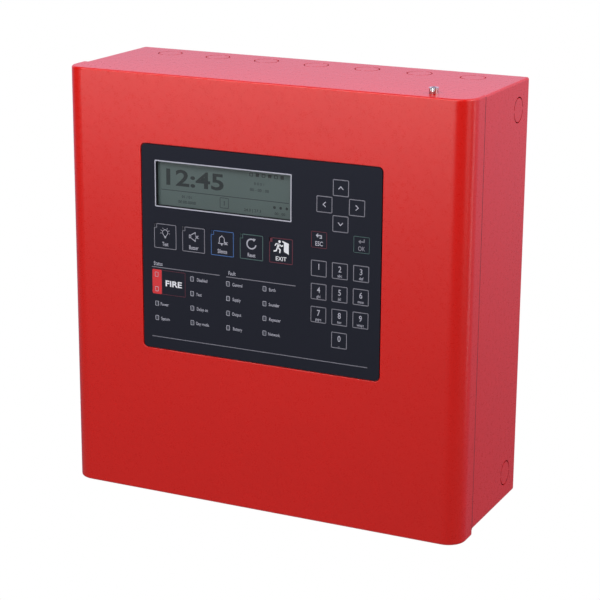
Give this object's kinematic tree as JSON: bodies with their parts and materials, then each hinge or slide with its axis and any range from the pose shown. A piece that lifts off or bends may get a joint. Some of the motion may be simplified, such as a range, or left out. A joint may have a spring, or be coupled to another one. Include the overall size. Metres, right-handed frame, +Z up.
{
  "type": "fire alarm control panel",
  "caption": "Wall-mounted steel control cabinet with a side-hinged door, a keypad fascia with a recessed screen, a quarter-turn latch, circuit boards and standby batteries.",
  "frame": {"origin": "centre of the four wall-fixing holes, on the back face of the box", "axes": "+X to the right seen from the front, +Y into the wall, so the front faces -Y, +Z up"},
  "size_m": [0.3944, 0.1415, 0.3941],
  "materials": {
    "red_powder_coat": "satin",
    "zinc_steel": "satin",
    "chromed_steel": "polished",
    "black_nylon": "matte",
    "navy_film": "satin",
    "clear_film": "clear",
    "frosted_window": "matte",
    "black_steel": "satin",
    "lcd_cell": "gloss",
    "green_board": "gloss",
    "board_brown": "satin",
    "black_plastic": "matte",
    "lamp_epoxy": "gloss",
    "brass_plain": "satin",
    "terminal_green": "satin",
    "relay_black": "satin",
    "capacitor_sleeve": "gloss",
    "tinned_metal": "satin",
    "bare_aluminium": "satin",
    "white_polyamide": "satin",
    "battery_abs": "satin"
  },
  "bodies": {
    "cabinet": {"back_box": "red_powder_coat", "battery_left": "battery_abs", "battery_right": "battery_abs", "battery_strap": "zinc_steel", "battery_terminals": "tinned_metal", "board_fuses": "tinned_metal", "board_screws": "zinc_steel", "board_standoffs": "brass_plain", "capacitors": "capacitor_sleeve", "chips": "black_plastic", "earth_studs": "brass_plain", "field_terminals": "terminal_green", "hinge_box_leaves": "red_powder_coat", "hinge_pins": "zinc_steel", "knockout_discs": "red_powder_coat", "latch_keeper": "zinc_steel", "loop_card": "green_board", "main_board": "green_board", "mains_terminal_block": "white_polyamide", "psu_board": "board_brown", "psu_chassis": "bare_aluminium", "psu_cover": "zinc_steel", "relays": "relay_black"},
    "door": {"door_shell": "red_powder_coat", "hinge_door_leaves": "red_powder_coat", "fascia_overlay": "navy_film", "display_window": "clear_film", "led_windows": "frosted_window", "lcd_bezel": "black_steel", "lcd_glass": "lcd_cell", "lcd_board": "green_board", "display_board": "green_board", "display_fixings": "zinc_steel", "tactile_switches": "black_plastic", "status_leds": "lamp_epoxy", "buzzer": "black_plastic", "latch_bush": "black_nylon"},
    "latch": {"latch_spindle": "chromed_steel", "latch_cam": "zinc_steel"},
    "key_0_body": {"key_0": "navy_film"},
    "key_1_body": {"key_1": "navy_film"},
    "key_2_body": {"key_2": "navy_film"},
    "key_3_body": {"key_3": "navy_film"},
    "key_4_body": {"key_4": "navy_film"},
    "key_5_body": {"key_5": "navy_film"},
    "key_6_body": {"key_6": "navy_film"},
    "key_7_body": {"key_7": "navy_film"},
    "key_8_body": {"key_8": "navy_film"},
    "key_9_body": {"key_9": "navy_film"},
    "key_down_body": {"key_down": "navy_film"},
    "key_enter_body": {"key_enter": "navy_film"},
    "key_escape_body": {"key_escape": "navy_film"},
    "key_evacuate_body": {"key_evacuate": "navy_film"},
    "key_left_body": {"key_left": "navy_film"},
    "key_mute_body": {"key_mute": "navy_film"},
    "key_reset_body": {"key_reset": "navy_film"},
    "key_right_body": {"key_right": "navy_film"},
    "key_silence_body": {"key_silence": "navy_film"},
    "key_test_body": {"key_test": "navy_film"},
    "key_up_body": {"key_up": "navy_film"}
  },
  "joints": [
    {"name": "door_hinge", "type": "hinge", "parent": "cabinet", "child": "door", "pos_m": [-0.1974, -0.1099, 0], "axis": [0, 0, -1], "range_deg": [0, 115]},
    {"name": "latch_turn", "type": "hinge", "parent": "door", "child": "latch", "pos_m": [0.152, -0.1225, 0.19], "axis": [0, 0, -1], "range_deg": [0, 90]},
    {"name": "key_0_press", "type": "slide", "parent": "door", "child": "key_0_body", "axis": [0, 1, 0], "range_m": [0, 0.0004], "stiffness_N_per_m": 400},
    {"name": "key_1_press", "type": "slide", "parent": "door", "child": "key_1_body", "axis": [0, 1, 0], "range_m": [0, 0.0004], "stiffness_N_per_m": 400},
    {"name": "key_2_press", "type": "slide", "parent": "door", "child": "key_2_body", "axis": [0, 1, 0], "range_m": [0, 0.0004], "stiffness_N_per_m": 400},
    {"name": "key_3_press", "type": "slide", "parent": "door", "child": "key_3_body", "axis": [0, 1, 0], "range_m": [0, 0.0004], "stiffness_N_per_m": 400},
    {"name": "key_4_press", "type": "slide", "parent": "door", "child": "key_4_body", "axis": [0, 1, 0], "range_m": [0, 0.0004], "stiffness_N_per_m": 400},
    {"name": "key_5_press", "type": "slide", "parent": "door", "child": "key_5_body", "axis": [0, 1, 0], "range_m": [0, 0.0004], "stiffness_N_per_m": 400},
    {"name": "key_6_press", "type": "slide", "parent": "door", "child": "key_6_body", "axis": [0, 1, 0], "range_m": [0, 0.0004], "stiffness_N_per_m": 400},
    {"name": "key_7_press", "type": "slide", "parent": "door", "child": "key_7_body", "axis": [0, 1, 0], "range_m": [0, 0.0004], "stiffness_N_per_m": 400},
    {"name": "key_8_press", "type": "slide", "parent": "door", "child": "key_8_body", "axis": [0, 1, 0], "range_m": [0, 0.0004], "stiffness_N_per_m": 400},
    {"name": "key_9_press", "type": "slide", "parent": "door", "child": "key_9_body", "axis": [0, 1, 0], "range_m": [0, 0.0004], "stiffness_N_per_m": 400},
    {"name": "key_down_press", "type": "slide", "parent": "door", "child": "key_down_body", "axis": [0, 1, 0], "range_m": [0, 0.0004], "stiffness_N_per_m": 400},
    {"name": "key_enter_press", "type": "slide", "parent": "door", "child": "key_enter_body", "axis": [0, 1, 0], "range_m": [0, 0.0004], "stiffness_N_per_m": 400},
    {"name": "key_escape_press", "type": "slide", "parent": "door", "child": "key_escape_body", "axis": [0, 1, 0], "range_m": [0, 0.0004], "stiffness_N_per_m": 400},
    {"name": "key_evacuate_press", "type": "slide", "parent": "door", "child": "key_evacuate_body", "axis": [0, 1, 0], "range_m": [0, 0.0004], "stiffness_N_per_m": 400},
    {"name": "key_left_press", "type": "slide", "parent": "door", "child": "key_left_body", "axis": [0, 1, 0], "range_m": [0, 0.0004], "stiffness_N_per_m": 400},
    {"name": "key_mute_press", "type": "slide", "parent": "door", "child": "key_mute_body", "axis": [0, 1, 0], "range_m": [0, 0.0004], "stiffness_N_per_m": 400},
    {"name": "key_reset_press", "type": "slide", "parent": "door", "child": "key_reset_body", "axis": [0, 1, 0], "range_m": [0, 0.0004], "stiffness_N_per_m": 400},
    {"name": "key_right_press", "type": "slide", "parent": "door", "child": "key_right_body", "axis": [0, 1, 0], "range_m": [0, 0.0004], "stiffness_N_per_m": 400},
    {"name": "key_silence_press", "type": "slide", "parent": "door", "child": "key_silence_body", "axis": [0, 1, 0], "range_m": [0, 0.0004], "stiffness_N_per_m": 400},
    {"name": "key_test_press", "type": "slide", "parent": "door", "child": "key_test_body", "axis": [0, 1, 0], "range_m": [0, 0.0004], "stiffness_N_per_m": 400},
    {"name": "key_up_press", "type": "slide", "parent": "door", "child": "key_up_body", "axis": [0, 1, 0], "range_m": [0, 0.0004], "stiffness_N_per_m": 400}
  ]
}
